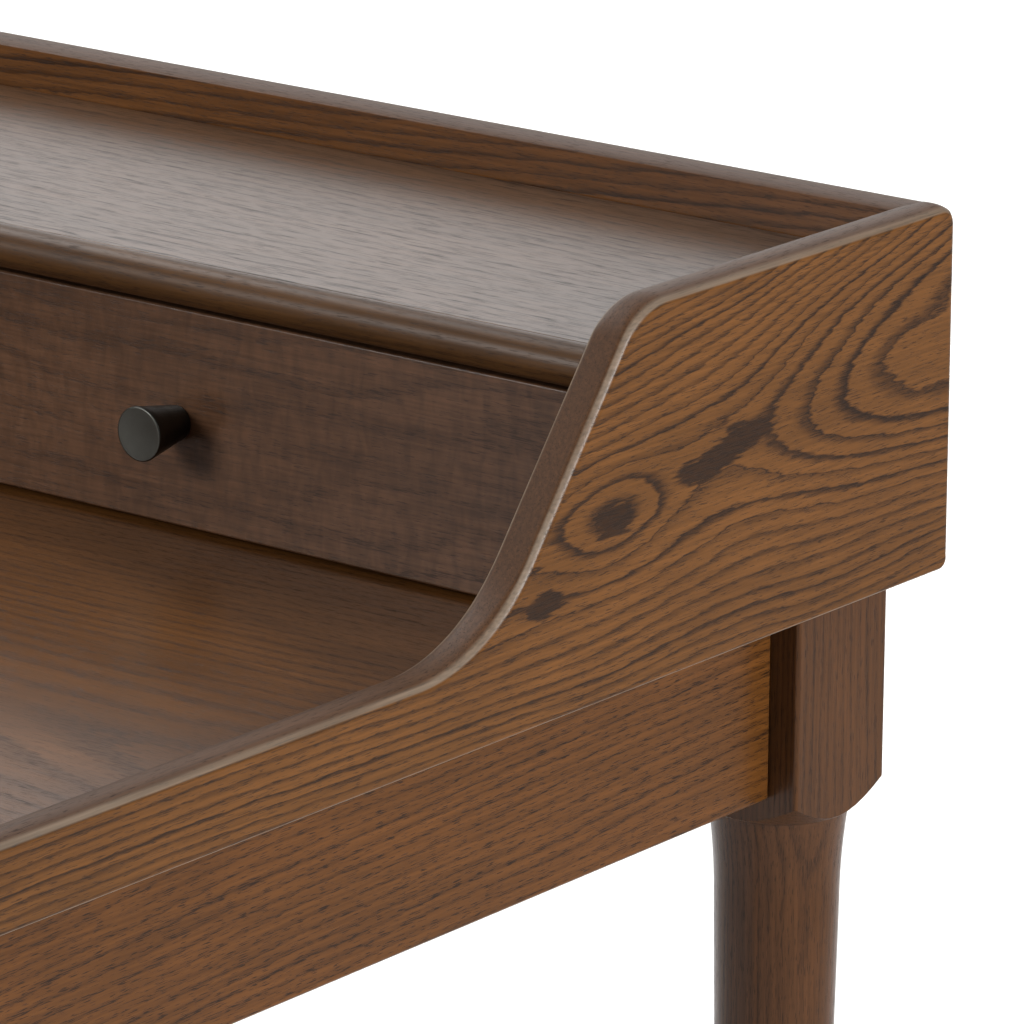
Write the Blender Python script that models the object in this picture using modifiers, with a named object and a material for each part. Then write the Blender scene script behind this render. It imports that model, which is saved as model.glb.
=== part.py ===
# Writing desk in dark stained oak with a raised row of three drawers along its back edge.
# Units are metres. X runs along the desk, +Y points to its back and +Z up.
# The origin is on the floor, under the middle of the desk.

from math import atan2, cos, pi, radians, sin, sqrt, tan

import bpy
import bmesh
from mathutils import Matrix, Vector

for old_object in list(bpy.data.objects):
    bpy.data.objects.remove(old_object, do_unlink=True)

# Overall sizes
desk_width = 1.400
desk_depth = 0.705
desk_height = 0.762             # floor to writing surface
hutch_height = 0.121            # writing surface to the top of the shelf
hutch_depth = 0.220             # back edge to the drawer faces
gallery_height = 0.0205         # side panels and back board above the shelf
lip_height = 0.016              # side panels above the writing surface, towards the front

# Boards
side_thickness = 0.019
top_thickness = 0.020
shelf_thickness = 0.018
back_thickness = 0.025
divider_thickness = 0.018
apron_thickness = 0.020
apron_height = 0.0895
brace_thickness = 0.022
brace_height = 0.060
edge_strip_flat = 0.0025        # flat part of a front edge strip, behind its half-round nose
front_reveal = 0.003            # side panels in front of the writing surface's edge strip
shelf_overhang = 0.005          # shelf in front of the drawer faces, to the joint with its edge strip

# Side panel outline
swoop_overhang = 0.0025         # drawer faces to where the line of the slope meets the top edge's line
swoop_angle = radians(52.6)     # slope below the horizontal
swoop_top_radius = 0.037
swoop_foot_radius = 0.090
panel_top_corner = 0.010        # the back board's upper back edge has it too
panel_bottom_corner = 0.006
panel_arris = 0.004

# Legs
leg_width = 0.065               # square block
leg_inset = 0.017               # side panel's outer face to the block's outer face
leg_end_inset = 0.0205          # back or front edge to the block's face
apron_setback = 0.014           # block's outer face to the apron's outer face
shoulder_drop = 0.0915          # top of the block to where its arrises are turned away
shoulder_angle = radians(39)
shoulder_step = 0.0005          # turned shoulder inside the block's faces
cove_step = 0.0015              # crisp step in from the shoulder to the cove below it
cove_length = 0.043
shaft_top_radius = 0.0273
foot_radius = 0.0165
foot_chamfer = 0.0015
glide_height = 0.005
glide_radius = 0.012
glide_chamfer = 0.0012

# Corner joints
corner_block_thickness = 0.025
corner_block_height = 0.060
corner_block_drop = 0.010
bolt_radius = 0.004
bolt_depth_in_leg = 0.036
bolt_tail = 0.013               # bolt past the corner block's inner face
nut_thickness = 0.0065
nut_across_flats = 0.013
washer_gap = 0.0003

# Drawers
drawer_count = 3
drawer_front_thickness = 0.018
drawer_side_gap = 0.0025        # beside each drawer front
drawer_bottom_gap = 0.002       # drawer front above the writing surface
drawer_top_gap = 0.005          # drawer front below the shelf
drawer_wall = 0.012
drawer_box_height = 0.076
drawer_box_clearance = 0.0015   # each side of the box, in its bay
drawer_box_lift = 0.0006        # box above the writing surface it runs on
drawer_panel_thickness = 0.005
drawer_panel_lift = 0.008       # panel's underside above the box's lower edge
groove_depth = 0.006
groove_clearance = 0.0003
stop_depth = 0.012
stop_height = 0.015
stop_length = 0.060
stop_gap = 0.0005

# Knobs
knob_face_radius = 0.012
knob_neck_radius = 0.0075
knob_length = 0.025
knob_rim = 0.0008
knob_height = 0.048             # knob axis above the writing surface
screw_radius = 0.002
screw_bite = 0.010              # screw inside the knob
screw_head_radius = 0.004
screw_head_height = 0.0025

# Fits and edges
fit_gap = 0.0003                # between pieces that touch
board_arris = 0.0015
small_arris = 0.0006
arris_angle_limit = radians(40)  # only edges sharper than this are rounded
turning_margin = 0.010          # a leg's turned outline stands this far outside its block
leg_steps = 36
cove_steps = 6
knob_steps = 28
small_steps = 16

# Levels and faces that follow from the sizes above
half_width = desk_width / 2
half_depth = desk_depth / 2
case_bottom = desk_height - top_thickness
shelf_top = desk_height + hutch_height
shelf_bottom = shelf_top - shelf_thickness
case_top = shelf_top + gallery_height
inner_x = half_width - side_thickness
back_face = half_depth - back_thickness
drawer_face = half_depth - hutch_depth
drawer_front_back = drawer_face + drawer_front_thickness
drawer_front_width = (2 * inner_x - (drawer_count + 1) * drawer_side_gap) / drawer_count
drawer_pitch = drawer_front_width + drawer_side_gap
leg_half = leg_width / 2
leg_x = half_width - leg_inset - leg_half
leg_y = half_depth - leg_end_inset - leg_half
apron_inner = apron_setback + apron_thickness - leg_half  # from a leg's axis, towards the middle
apron_centre = leg_half - apron_setback - apron_thickness / 2
leg_top = case_bottom - fit_gap
shoulder_radius = leg_half - shoulder_step

corners = {
    "rear_right": (1, 1),
    "rear_left": (-1, 1),
    "front_left": (-1, -1),
    "front_right": (1, -1),
}
bay_names = ("left", "centre", "right")


def new_collection(name):
    collection = bpy.data.collections.new(name)
    bpy.context.scene.collection.children.link(collection)
    return collection


desk_parts = new_collection("writing_desk")
desk_cutters = new_collection("cutters")


def new_material(name, color, roughness, metallic=0.0):
    material = bpy.data.materials.new(name)
    material.use_nodes = True
    shader = material.node_tree.nodes["Principled BSDF"]
    shader.inputs["Base Color"].default_value = (*color, 1.0)
    shader.inputs["Roughness"].default_value = roughness
    shader.inputs["Metallic"].default_value = metallic
    material.diffuse_color = (*color, 1.0)
    return material


stained_oak = new_material("stained_oak", (0.115, 0.052, 0.024), 0.42)
drawer_wood = new_material("drawer_wood", (0.52, 0.36, 0.21), 0.55)
hardwood_block = new_material("hardwood_block", (0.36, 0.23, 0.13), 0.6)
blackened_metal = new_material("blackened_metal", (0.035, 0.034, 0.033), 0.38, 0.85)
zinc_steel = new_material("zinc_steel", (0.55, 0.55, 0.56), 0.35, 1.0)
nylon = new_material("nylon", (0.05, 0.045, 0.04), 0.5)


def place(name, mesh, material, location=(0, 0, 0), rotation=(0, 0, 0), parent=None):
    """Put a mesh in the desk's collection as one named piece."""
    piece = bpy.data.objects.new(name, mesh)
    desk_parts.objects.link(piece)
    if not mesh.materials:
        mesh.materials.append(material)
    piece.location = Vector(location)
    piece.rotation_euler = rotation
    if parent:
        piece.parent = parent
        piece.matrix_parent_inverse = Matrix.Translation(-parent.location)
    return piece


def to_mesh(name, bm):
    mesh = bpy.data.meshes.new(name)
    bm.to_mesh(mesh)
    bm.free()
    return mesh


def round_arrises(piece, width, segments=1):
    bevel = piece.modifiers.new("arris", "BEVEL")
    bevel.width = width
    bevel.segments = segments
    bevel.limit_method = "ANGLE"
    bevel.angle_limit = arris_angle_limit


def cut(piece, cutter, operation="DIFFERENCE"):
    boolean = piece.modifiers.new(cutter.name, "BOOLEAN")
    boolean.object = cutter
    boolean.operation = operation
    boolean.solver = "EXACT"


def mark_as_cutter(helper):
    for collection in list(helper.users_collection):
        collection.objects.unlink(helper)
    desk_cutters.objects.link(helper)
    helper.hide_render = True
    helper.display_type = "WIRE"
    return helper


def box_mesh(name, size):
    bm = bmesh.new()
    bmesh.ops.create_cube(bm, size=1.0, matrix=Matrix.Diagonal((*size, 1.0)))
    return to_mesh(name, bm)


def board(name, low, high, material, arris=board_arris, parent=None):
    """A rectangular board between two corners, with its arrises eased."""
    low, high = Vector(low), Vector(high)
    piece = place(name, box_mesh(name, high - low), material, (low + high) / 2, parent=parent)
    if arris:
        round_arrises(piece, arris)
    return piece


def box_cutter(name, low, high):
    return mark_as_cutter(board(name, low, high, stained_oak, arris=0))


def rod_cutter(name, start, direction, length, radius, steps=small_steps):
    """A round cutter that starts at a point and runs along a direction."""
    direction = Vector(direction).normalized()
    bm = bmesh.new()
    bmesh.ops.create_cone(bm, cap_ends=True, segments=steps, radius1=radius, radius2=radius, depth=length)
    turn = direction.to_track_quat("Z", "Y").to_euler()
    rod = place(name, to_mesh(name, bm), stained_oak, Vector(start) + direction * length / 2, turn)
    return mark_as_cutter(rod)


def outline_mesh(name, points, thickness):
    """A flat outline in local XY, thickened evenly about its plane."""
    curve = bpy.data.curves.new(name, "CURVE")
    curve.dimensions = "2D"
    curve.fill_mode = "BOTH"
    curve.extrude = thickness / 2
    spline = curve.splines.new("POLY")
    spline.points.add(len(points) - 1)
    for point, (x, y) in zip(spline.points, points):
        point.co = (x, y, 0, 1)
    spline.use_cyclic_u = True
    guide = bpy.data.objects.new(name, curve)
    desk_cutters.objects.link(guide)
    mesh = evaluated_mesh(guide)
    bpy.data.objects.remove(guide, do_unlink=True)
    bm = bmesh.new()
    bm.from_mesh(mesh)
    bmesh.ops.remove_doubles(bm, verts=bm.verts, dist=0.00001)
    bmesh.ops.recalc_face_normals(bm, faces=bm.faces)
    bpy.data.meshes.remove(mesh)
    return to_mesh(name, bm)


def evaluated_mesh(piece):
    bpy.context.view_layer.update()
    graph = bpy.context.evaluated_depsgraph_get()
    return bpy.data.meshes.new_from_object(piece.evaluated_get(graph))


def fixed_mesh(piece, *helpers):
    """The finished mesh of a piece where it stands; the piece and its cutters are removed."""
    mesh = evaluated_mesh(piece)
    mesh.transform(piece.matrix_world)
    for thing in (piece, *helpers):
        bpy.data.objects.remove(thing, do_unlink=True)
    return mesh


def turned(name, profile, material, steps, location=(0, 0, 0), rotation=(0, 0, 0), parent=None):
    """A solid of revolution about local Z, from (radius, height) points that run from top to bottom."""
    mesh = bpy.data.meshes.new(name)
    points = [(radius, 0, height) for radius, height in profile]
    edges = [(i, i + 1) for i in range(len(points) - 1)]
    mesh.from_pydata(points, edges, [])
    piece = place(name, mesh, material, location, rotation, parent)
    screw = piece.modifiers.new("turning", "SCREW")
    screw.steps = steps
    screw.render_steps = steps
    screw.use_merge_vertices = True
    screw.merge_threshold = 0.00001
    screw.use_smooth_shade = True
    return piece


def arc(centre, radius, start, end, steps):
    """Points on an arc, with both of its ends."""
    turns = [start + (end - start) * i / steps for i in range(steps + 1)]
    return [(centre[0] + radius * cos(a), centre[1] + radius * sin(a)) for a in turns]


def fillet(before, corner, after, radius, steps):
    """The arc that rounds one corner of an outline."""
    before, corner, after = Vector(before), Vector(corner), Vector(after)
    to_before = (before - corner).normalized()
    to_after = (after - corner).normalized()
    half_turn = to_before.angle(to_after) / 2
    middle = (to_before + to_after).normalized()
    centre = corner + middle * radius / sin(half_turn)
    first = corner + to_before * radius / tan(half_turn) - centre
    last = corner + to_after * radius / tan(half_turn) - centre
    start = atan2(first.y, first.x)
    sweep = (atan2(last.y, last.x) - start + pi) % (2 * pi) - pi
    return arc(centre, radius, start, start + sweep, steps)


# Local X, Y and Z of an outline laid along the desk's Y, Z and X
along_x = (pi / 2, 0, pi / 2)


def side_panel_outline():
    """Depth and height of the side panel's edge, from its low front end to its high back end."""
    top, lip = case_top, desk_height + lip_height
    crest_y = drawer_face - swoop_overhang
    foot_y = crest_y - (top - lip) / tan(swoop_angle)
    corner_points = [
        ((-half_depth, case_bottom), panel_bottom_corner, 4),
        ((half_depth, case_bottom), panel_bottom_corner, 4),
        ((half_depth, top), panel_top_corner, 5),
        ((crest_y, top), swoop_top_radius, 6),
        ((foot_y, lip), swoop_foot_radius, 8),
        ((-half_depth, lip), panel_top_corner, 5),
    ]
    outline = []
    for i, (corner, radius, steps) in enumerate(corner_points):
        before = corner_points[i - 1][0]
        after = corner_points[(i + 1) % len(corner_points)][0]
        outline += fillet(before, corner, after, radius, steps)
    return outline


def make_side_panels():
    mesh = outline_mesh("side_panel", side_panel_outline(), side_thickness)
    for side, sign in (("left", -1), ("right", 1)):
        place_x = sign * (half_width - side_thickness / 2)
        panel = place("side_panel_" + side, mesh, stained_oak, (place_x, 0, 0), along_x)
        round_arrises(panel, panel_arris, 2)


def edge_strip(name, joint_y, z_low, z_high):
    """A front edge strip: a short flat and a half-round nose that points to the front."""
    radius = (z_high - z_low) / 2
    centre = (joint_y - edge_strip_flat, (z_high + z_low) / 2)
    outline = arc(centre, radius, pi / 2, 3 * pi / 2, 10)
    outline += [(joint_y, z_low), (joint_y, z_high)]
    mesh = outline_mesh(name, outline, 2 * (inner_x - fit_gap))
    return place(name, mesh, stained_oak, rotation=along_x)


def make_writing_surface():
    nose = top_thickness / 2
    joint_y = -half_depth + front_reveal + nose + edge_strip_flat
    edge_strip("desk_top_front_edge", joint_y, case_bottom, desk_height)
    reach = inner_x - fit_gap
    low = (-reach, joint_y + fit_gap, case_bottom)
    board("desk_top", low, (reach, half_depth, desk_height), stained_oak, small_arris)


def make_hutch():
    reach = inner_x - fit_gap
    joint_y = drawer_face - shelf_overhang
    edge_strip("shelf_front_edge", joint_y, shelf_bottom, shelf_top)
    low = (-reach, joint_y + fit_gap, shelf_bottom)
    board("shelf_board", low, (reach, back_face - fit_gap, shelf_top), stained_oak, fit_gap)
    outline = [(back_face, desk_height + fit_gap), (half_depth, desk_height + fit_gap)]
    top_corner = (half_depth, case_top)
    outline += fillet(outline[-1], top_corner, (back_face, case_top), panel_top_corner, 5)
    outline.append((back_face, case_top))
    mesh = outline_mesh("back_board", outline, 2 * reach)
    round_arrises(place("back_board", mesh, stained_oak, rotation=along_x), board_arris)
    for side, sign in (("left", -1), ("right", 1)):
        middle = sign * drawer_pitch / 2
        low = (middle - divider_thickness / 2, drawer_front_back + stop_gap, desk_height + fit_gap)
        high = (middle + divider_thickness / 2, back_face - fit_gap, shelf_bottom - fit_gap)
        board("divider_" + side, low, high, stained_oak, small_arris)


def make_aprons():
    low_z, high_z = leg_top - apron_height, leg_top
    reach_y = leg_y - leg_half - fit_gap
    reach_x = leg_x - leg_half - fit_gap
    for side, sign in (("left", -1), ("right", 1)):
        middle = sign * (leg_x + apron_centre)
        low = (middle - apron_thickness / 2, -reach_y, low_z)
        high = (middle + apron_thickness / 2, reach_y, high_z)
        board("apron_" + side, low, high, stained_oak)
    for side, sign in (("front", -1), ("rear", 1)):
        middle = sign * (leg_y + apron_centre)
        low = (-reach_x, middle - apron_thickness / 2, low_z)
        high = (reach_x, middle + apron_thickness / 2, high_z)
        board("apron_" + side, low, high, stained_oak)
    brace_y = leg_y - apron_inner - fit_gap
    low = (-brace_thickness / 2, -brace_y, leg_top - brace_height)
    board("centre_brace", low, (brace_thickness / 2, brace_y, leg_top), hardwood_block)


def leg_profile():
    """Half outline of a leg's turned shape, from above its block to its foot."""
    block_corner = leg_half * sqrt(2)
    outside = block_corner + turning_margin
    slope = tan(shoulder_angle)
    shoulder_foot = -shoulder_drop - (block_corner - shoulder_radius) * slope
    cove_radius = shoulder_radius - cove_step
    foot = -(leg_top - glide_height)
    profile = [(0, turning_margin), (outside, turning_margin)]
    profile.append((outside, -shoulder_drop + (outside - block_corner) * slope))
    profile.append((shoulder_radius, shoulder_foot))
    for i in range(cove_steps + 1):
        t = i / cove_steps
        radius = shaft_top_radius + (cove_radius - shaft_top_radius) * (1 - t) ** 2
        profile.append((radius, shoulder_foot - cove_length * t))
    profile.append((foot_radius, foot + foot_chamfer))
    profile.append((foot_radius - foot_chamfer, foot))
    profile.append((0, foot))
    return profile


def corner_turn(sign_x, sign_y):
    """Rotation that points a corner piece's local +X+Y diagonal at the middle of the desk."""
    return atan2(-sign_y, -sign_x) - pi / 4


def make_legs():
    length = leg_top - glide_height
    block = place("leg_block", box_mesh("leg_block", (leg_width, leg_width, length)),
                  stained_oak, (0, 0, -length / 2))
    round_arrises(block, board_arris, 2)
    turning = mark_as_cutter(turned("leg_turning", leg_profile(), stained_oak, leg_steps))
    bolt_z = -(corner_block_drop + corner_block_height / 2)
    bore_start = leg_half * sqrt(2) - bolt_depth_in_leg - fit_gap
    diagonal = Vector((1, 1, 0)).normalized()
    bore = rod_cutter("leg_bore", diagonal * bore_start + Vector((0, 0, bolt_z)), diagonal,
                      bolt_depth_in_leg * 2, bolt_radius + fit_gap)
    cut(block, turning, "INTERSECT")
    cut(block, bore)
    leg_mesh = fixed_mesh(block, turning, bore)
    for corner, (sign_x, sign_y) in corners.items():
        foot_at = (sign_x * leg_x, sign_y * leg_y, 0)
        turn = (0, 0, corner_turn(sign_x, sign_y))
        place("leg_" + corner, leg_mesh, stained_oak, (foot_at[0], foot_at[1], leg_top), turn)
        top = glide_height - fit_gap
        glide = [(0, top), (glide_radius, top), (glide_radius, glide_chamfer),
                 (glide_radius - glide_chamfer, 0), (0, 0)]
        turned("leg_glide_" + corner, glide, nylon, small_steps, foot_at)


def make_corner_joints():
    """Diagonal blocks between the aprons, each with the bolt and nut that pull its leg in."""
    diagonal = Vector((1, 1, 0)).normalized()
    near = leg_width + fit_gap * sqrt(2)
    far = near + corner_block_thickness * sqrt(2)
    edge = apron_inner + fit_gap
    outline = [(near - edge, edge), (far - edge, edge), (edge, far - edge), (edge, near - edge)]
    middle_z = -(corner_block_drop + corner_block_height / 2)
    blank_mesh = outline_mesh("corner_block", outline, corner_block_height)
    blank = place("corner_blank", blank_mesh, hardwood_block, (0, 0, middle_z))
    round_arrises(blank, small_arris)
    bore_start = diagonal * leg_half * sqrt(2) + Vector((0, 0, middle_z))
    bore = rod_cutter("block_bore", bore_start, diagonal, corner_block_thickness * 2, bolt_radius + fit_gap)
    cut(blank, bore)
    block_mesh = fixed_mesh(blank, bore)

    bolt_from = leg_half * sqrt(2) - bolt_depth_in_leg
    nut_from = far / sqrt(2) + washer_gap
    bolt_to = far / sqrt(2) + bolt_tail
    tip = bolt_radius / 3
    length = bolt_to - bolt_from
    bolt_profile = [(0, length), (bolt_radius - tip, length), (bolt_radius, length - tip),
                    (bolt_radius, tip), (bolt_radius - tip, 0), (0, 0)]
    bm = bmesh.new()
    radius = nut_across_flats / 2 / cos(pi / 6)
    bmesh.ops.create_cone(bm, cap_ends=True, segments=6, radius1=radius, radius2=radius, depth=nut_thickness)
    nut = place("nut_blank", to_mesh("hanger_nut", bm), zinc_steel)
    round_arrises(nut, small_arris)
    nut_bore = rod_cutter("nut_bore", (0, 0, -nut_thickness), (0, 0, 1), 2 * nut_thickness,
                          bolt_radius + fit_gap)
    cut(nut, nut_bore)
    nut_mesh = fixed_mesh(nut, nut_bore)

    for corner, (sign_x, sign_y) in corners.items():
        axis_at = Vector((sign_x * leg_x, sign_y * leg_y, leg_top))
        inward = Vector((-sign_x, -sign_y, 0)).normalized()
        turn = corner_turn(sign_x, sign_y)
        lay_down = inward.to_track_quat("Z", "Y").to_euler()
        level = Vector((0, 0, middle_z))
        place("corner_block_" + corner, block_mesh, hardwood_block, axis_at, (0, 0, turn))
        turned("hanger_bolt_" + corner, bolt_profile, zinc_steel, small_steps,
               axis_at + level + inward * bolt_from, lay_down)
        place("hanger_nut_" + corner, nut_mesh, zinc_steel,
              axis_at + level + inward * (nut_from + nut_thickness / 2), lay_down)


def make_drawer(index):
    """One drawer: a front, a box of four more pieces, a knob and the screw that holds it."""
    name = "drawer_" + bay_names[index]
    middle = (index - (drawer_count - 1) / 2) * drawer_pitch
    front_low = desk_height + drawer_bottom_gap
    front_high = shelf_bottom - drawer_top_gap
    knob_z = desk_height + knob_height
    slide = bpy.data.objects.new(name + "_slide", None)
    desk_parts.objects.link(slide)
    slide.location = (middle, drawer_face, knob_z)

    bay_left = middle - (drawer_pitch - divider_thickness) / 2 if index > 0 else -inner_x
    bay_right = middle + (drawer_pitch - divider_thickness) / 2 if index < drawer_count - 1 else inner_x
    box_left = bay_left + drawer_box_clearance
    box_right = bay_right - drawer_box_clearance
    box_low = desk_height + drawer_box_lift
    box_high = box_low + drawer_box_height
    box_front = drawer_front_back + fit_gap
    box_back = back_face - fit_gap - stop_depth - stop_gap
    panel_low = box_low + drawer_panel_lift
    panel_high = panel_low + drawer_panel_thickness
    panel_left = box_left + drawer_wall - groove_depth
    panel_right = box_right - drawer_wall + groove_depth
    panel_front = drawer_front_back - groove_depth

    groove = box_cutter(
        name + "_groove",
        (panel_left - groove_clearance, panel_front - groove_clearance, panel_low - groove_clearance),
        (panel_right + groove_clearance, box_back + drawer_wall, panel_high + groove_clearance))
    screw_hole = rod_cutter(name + "_screw_hole", (middle, drawer_face - drawer_front_thickness, knob_z),
                            (0, 1, 0), 3 * drawer_front_thickness, screw_radius + fit_gap)

    front = board(name + "_front", (middle - drawer_front_width / 2, drawer_face, front_low),
                  (middle + drawer_front_width / 2, drawer_front_back, front_high),
                  stained_oak, board_arris, slide)
    cut(front, groove)
    cut(front, screw_hole)
    for side, side_left in (("left", box_left), ("right", box_right - drawer_wall)):
        wall = board(name + "_side_" + side, (side_left, box_front, box_low),
                     (side_left + drawer_wall, box_back, box_high), drawer_wood, small_arris, slide)
        cut(wall, groove)
    inside_left = box_left + drawer_wall + fit_gap
    inside_right = box_right - drawer_wall - fit_gap
    board(name + "_back", (inside_left, box_back - drawer_wall, panel_high + fit_gap),
          (inside_right, box_back, box_high), drawer_wood, small_arris, slide)
    board(name + "_bottom", (panel_left, panel_front, panel_low),
          (panel_right, box_back - fit_gap, panel_high), drawer_wood, 0, slide)

    hole = screw_radius + fit_gap
    hole_depth = screw_bite + fit_gap
    knob_profile = [
        (0, knob_length),
        (knob_face_radius - knob_rim, knob_length),
        (knob_face_radius, knob_length - knob_rim),
        (knob_neck_radius, 0),
        (hole, 0),
        (hole, hole_depth),
        (0, hole_depth),
    ]
    facing_front = (pi / 2, 0, 0)
    turned(name + "_knob", knob_profile, blackened_metal, knob_steps,
           (middle, drawer_face - fit_gap, knob_z), facing_front, slide)
    head_at = -(drawer_front_thickness + 2 * fit_gap)
    screw_profile = [
        (0, screw_bite),
        (screw_radius, screw_bite),
        (screw_radius, head_at),
        (screw_head_radius, head_at),
        (screw_head_radius, head_at - screw_head_height / 2),
        (screw_head_radius / 2, head_at - screw_head_height),
        (0, head_at - screw_head_height),
    ]
    turned(name + "_knob_screw", screw_profile, zinc_steel, small_steps,
           (middle, drawer_face - fit_gap, knob_z), facing_front, slide)

    bay_middle = (bay_left + bay_right) / 2
    board("drawer_stop_" + bay_names[index],
          (bay_middle - stop_length / 2, back_face - fit_gap - stop_depth, desk_height + fit_gap),
          (bay_middle + stop_length / 2, back_face - fit_gap, desk_height + fit_gap + stop_height),
          hardwood_block, small_arris)


make_side_panels()
make_writing_surface()
make_hutch()
make_aprons()
make_legs()
make_corner_joints()
for drawer_index in range(drawer_count):
    make_drawer(drawer_index)
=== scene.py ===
# Writing desk in dark stained oak: finish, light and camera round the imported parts.
# Units are metres. X runs along the desk, +Y points to its back and +Z up; the floor is at zero.

from math import atan2, cos, pi, radians, sin, sqrt, tan

import bmesh
import bpy
from mathutils import Matrix, Vector


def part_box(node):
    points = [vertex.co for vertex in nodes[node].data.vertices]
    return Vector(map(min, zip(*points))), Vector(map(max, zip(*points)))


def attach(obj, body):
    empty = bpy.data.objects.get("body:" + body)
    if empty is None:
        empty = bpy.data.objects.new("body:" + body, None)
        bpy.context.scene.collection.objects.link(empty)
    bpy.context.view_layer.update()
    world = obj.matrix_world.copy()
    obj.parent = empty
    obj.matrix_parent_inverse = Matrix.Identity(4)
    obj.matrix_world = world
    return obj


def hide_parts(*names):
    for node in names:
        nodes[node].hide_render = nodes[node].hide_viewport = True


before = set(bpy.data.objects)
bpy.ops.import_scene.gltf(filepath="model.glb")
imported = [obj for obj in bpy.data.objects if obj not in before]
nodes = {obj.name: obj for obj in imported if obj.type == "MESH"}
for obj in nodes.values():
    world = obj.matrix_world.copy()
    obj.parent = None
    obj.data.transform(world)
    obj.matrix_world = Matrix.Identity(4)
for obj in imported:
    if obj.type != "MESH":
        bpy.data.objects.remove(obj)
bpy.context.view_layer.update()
scene = bpy.context.scene
sides = ("left", "right")
drawers = ("left", "centre", "right")
corners = ("rear_left", "rear_right", "front_left", "front_right")
noiseLow, noiseHigh = 0.3, 0.7  # most of a noise lies between these


def linearColour(hexText):
    channels = [int(hexText[i:i + 2], 16) / 255 for i in (1, 3, 5)]
    linear = [c / 12.92 if c <= 0.04045 else ((c + 0.055) / 1.055) ** 2.4 for c in channels]
    return (*linear, 1)


def addNode(tree, kind, inputs=None, **settings):
    # adds one node; an input may be a value, a socket or a node (its first output)
    node = tree.nodes.new(kind)
    for key, value in settings.items():
        setattr(node, key, value)
    for key, value in (inputs or {}).items():
        if isinstance(value, bpy.types.Node):
            value = value.outputs[0]
        if isinstance(value, bpy.types.NodeSocket):
            tree.links.new(value, node.inputs[key])
        else:
            node.inputs[key].default_value = value
    return node


def startMaterial(name, colour, roughness, **shaderValues):
    material = bpy.data.materials.new(name)
    material.use_nodes = True
    tree = material.node_tree
    tree.nodes.clear()
    shader = addNode(tree, "ShaderNodeBsdfPrincipled")
    shader.inputs["Base Color"].default_value = linearColour(colour)
    shader.inputs["Roughness"].default_value = roughness
    for key, value in shaderValues.items():
        shader.inputs[key.replace("_", " ")].default_value = value
    addNode(tree, "ShaderNodeOutputMaterial", {"Surface": shader})
    return material, tree, shader


camera = {
    "position": (2.2891, -1.9889, 1.5896),
    "azimuth": 37.97,           # degrees, 0 looks along +Y
    "elevation": 16.28,
    "roll": 0.43,
    "lens": 240.9,              # mm
    "sensorWidth": 36,          # mm
    "farthest": 200,
}


def makeCamera():
    turn, rise, roll = (radians(camera[key]) for key in ("azimuth", "elevation", "roll"))
    back = Vector((sin(turn) * cos(rise), -cos(turn) * cos(rise), sin(rise)))
    right = Vector((cos(turn), sin(turn), 0))
    up = back.cross(right)
    across = right * cos(roll) + up * sin(roll)
    upright = up * cos(roll) - right * sin(roll)
    data = bpy.data.cameras.new("camera")
    data.lens = camera["lens"]
    data.sensor_width = camera["sensorWidth"]
    data.clip_end = camera["farthest"]
    piece = bpy.data.objects.new("camera", data)
    scene.collection.objects.link(piece)
    matrix = Matrix((across, upright, back)).transposed().to_4x4()
    matrix.translation = camera["position"]
    piece.matrix_world = matrix
    scene.camera = piece


studio = {
    "worldColour": "#ffffff",
    "dimSide": 0.17,            # light from the unlit part of the room
    "backGlow": 1.38,           # extra from the bright wall behind and to the left
    "backGlowWay": (-0.60, 0.77, 0.26),
    "backGlowEdge": (0.78, 0.98),   # how squarely one looks at the wall as its glow starts and is full
    "ceilingGlow": 0.30,
    "ceilingEdge": (0.25, 0.9),
    "floor": "#f7f7f6",
    "floorSize": 60,
    "toothScale": 1200.0,       # paper fibres, per metre
    "toothDepth": 0.0001,
    "lamps": {
        # name: position, aim, width, height, watts, spread in degrees
        "keyRight": ((3.10, 0.38, 1.62), (0.68, 0.05, 0.80), 0.34, 0.80, 22, 100),
        "fillFront": ((-0.60, -2.20, 1.75), (0.23, 0.10, 0.81), 0.9, 0.9, 24, 120),
        "overhead": ((-1.80, 0.50, 3.00), (0.00, 0.12, 0.88), 1.4, 1.4, 17, 120),
        "backFloor": ((-1.8, 3.0, 4.2), (-1.8, 3.0, 0), 3.6, 4.0, 70, 70),
    },
}


def makeWorld():
    # a studio room: dim round the camera, a bright wall behind the desk, a soft ceiling
    world = bpy.data.worlds.new("studio")
    world.use_nodes = True
    tree = world.node_tree
    sky = tree.nodes["Background"]
    sky.inputs["Color"].default_value = linearColour(studio["worldColour"])
    way = addNode(tree, "ShaderNodeTexCoord").outputs["Generated"]
    wallWay = Vector(studio["backGlowWay"]).normalized()
    wall = addNode(tree, "ShaderNodeVectorMath", {0: way, 1: wallWay}, operation="DOT_PRODUCT")
    first, last = studio["backGlowEdge"]
    wallGlow = addNode(tree, "ShaderNodeMapRange", {0: wall.outputs["Value"], 1: first, 2: last,
                                                    3: studio["dimSide"],
                                                    4: studio["dimSide"] + studio["backGlow"]},
                       interpolation_type="SMOOTHSTEP")
    upward = addNode(tree, "ShaderNodeSeparateXYZ", {0: way}).outputs["Z"]
    first, last = studio["ceilingEdge"]
    ceiling = addNode(tree, "ShaderNodeMapRange", {0: upward, 1: first, 2: last, 3: 0.0,
                                                   4: studio["ceilingGlow"]},
                      interpolation_type="SMOOTHSTEP")
    glow = addNode(tree, "ShaderNodeMath", {0: wallGlow, 1: ceiling}, operation="ADD")
    tree.links.new(glow.outputs[0], sky.inputs["Strength"])
    scene.world = world


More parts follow.
